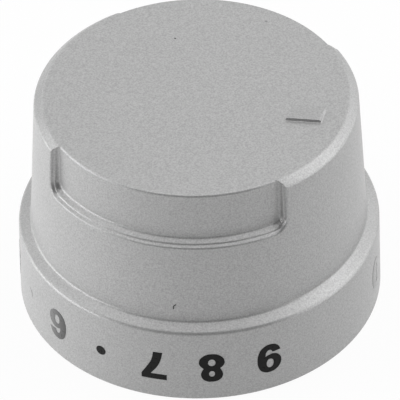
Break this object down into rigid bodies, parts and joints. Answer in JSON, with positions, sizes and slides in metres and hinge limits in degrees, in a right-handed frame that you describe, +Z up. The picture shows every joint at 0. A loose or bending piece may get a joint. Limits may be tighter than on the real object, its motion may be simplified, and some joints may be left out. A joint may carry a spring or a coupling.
{
  "type": "switch knob",
  "caption": "Push-on rotary switch knob with a numbered skirt, a tapered grip with finger recesses, a raised pointer and a slotted D-socket hub closed by a spring band.",
  "frame": {"origin": "centre of the skirt's lower rim, on the shaft axis", "axes": "+Z up along the shaft axis to the top face, +X towards the pointer, finger recesses on -Y and +Y"},
  "size_m": [0.045, 0.045, 0.0299],
  "materials": {
    "silver_moulding": "satin silver with a fine sandy grain, black printed numbers",
    "spring_steel": "bright rolled strip"
  },
  "bodies": {
    "root": {"knob_body": "silver_moulding", "spring_band": "spring_steel"}
  },
  "joints": []
}
